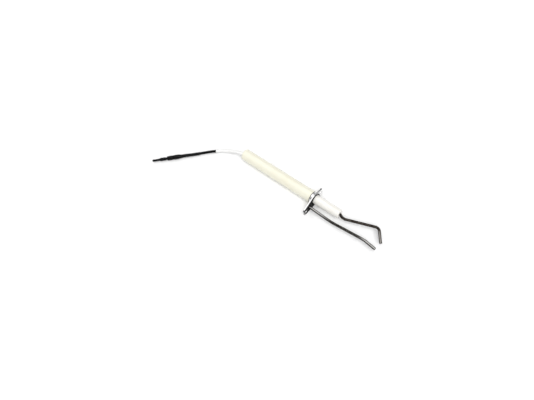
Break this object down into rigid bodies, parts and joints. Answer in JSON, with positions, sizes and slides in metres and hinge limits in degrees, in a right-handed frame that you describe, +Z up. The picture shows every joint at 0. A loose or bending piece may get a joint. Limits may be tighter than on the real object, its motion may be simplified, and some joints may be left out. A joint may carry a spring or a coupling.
{
  "type": "ignition electrode",
  "caption": "Burner ignition electrode: ceramic insulators on an oval flange, a bent spark rod beside an earth rod, and a short sleeved lead with a pin terminal.",
  "frame": {"origin": "where the insulators' axis meets the front, mounting face of the flange", "axes": "+X along the insulators' axis towards the spark tips, -Y towards the earth rod, +Z up with the electrode lying down"},
  "size_m": [0.2132, 0.0623, 0.012],
  "materials": {
    "tube_ceramic": "glazed cream ceramic, satin to gloss",
    "nose_ceramic": "glazed white ceramic, satin to gloss",
    "flange_steel": "bright polished stainless steel",
    "bush_steel": "bright turned steel",
    "gasket": "dark fibre and graphite gasket",
    "rod_alloy": "drawn heat-resisting alloy with a dark oxide film",
    "weld": "dark weld bead",
    "cement": "matt refractory cement",
    "sleeve_white": "smooth white heat-resistant sleeve",
    "wire_black": "black silicone wire insulation",
    "shrink_black": "black shrink tubing, slightly lumpy",
    "seal_silicone": "pale silicone potting",
    "copper": "tinned and bare copper strands",
    "terminal_metal": "blackened metal pin"
  },
  "bodies": {
    "root": {"rear_insulator": "tube_ceramic", "front_insulator": "nose_ceramic", "mounting_flange": "flange_steel", "flange_bush": "bush_steel", "insulator_gasket": "gasket", "insulator_cement": "cement", "rod_cement": "cement", "spark_rod": "rod_alloy", "earth_rod": "rod_alloy", "earth_rod_weld": "weld", "splice_ferrule": "copper", "splice_core": "copper", "lead_inner": "wire_black", "lead_wire": "wire_black", "heat_sleeve": "sleeve_white", "wire_boot": "shrink_black", "rear_seal": "seal_silicone", "terminal_pin": "terminal_metal", "terminal_core": "copper", "terminal_shrink": "shrink_black"}
  },
  "joints": []
}
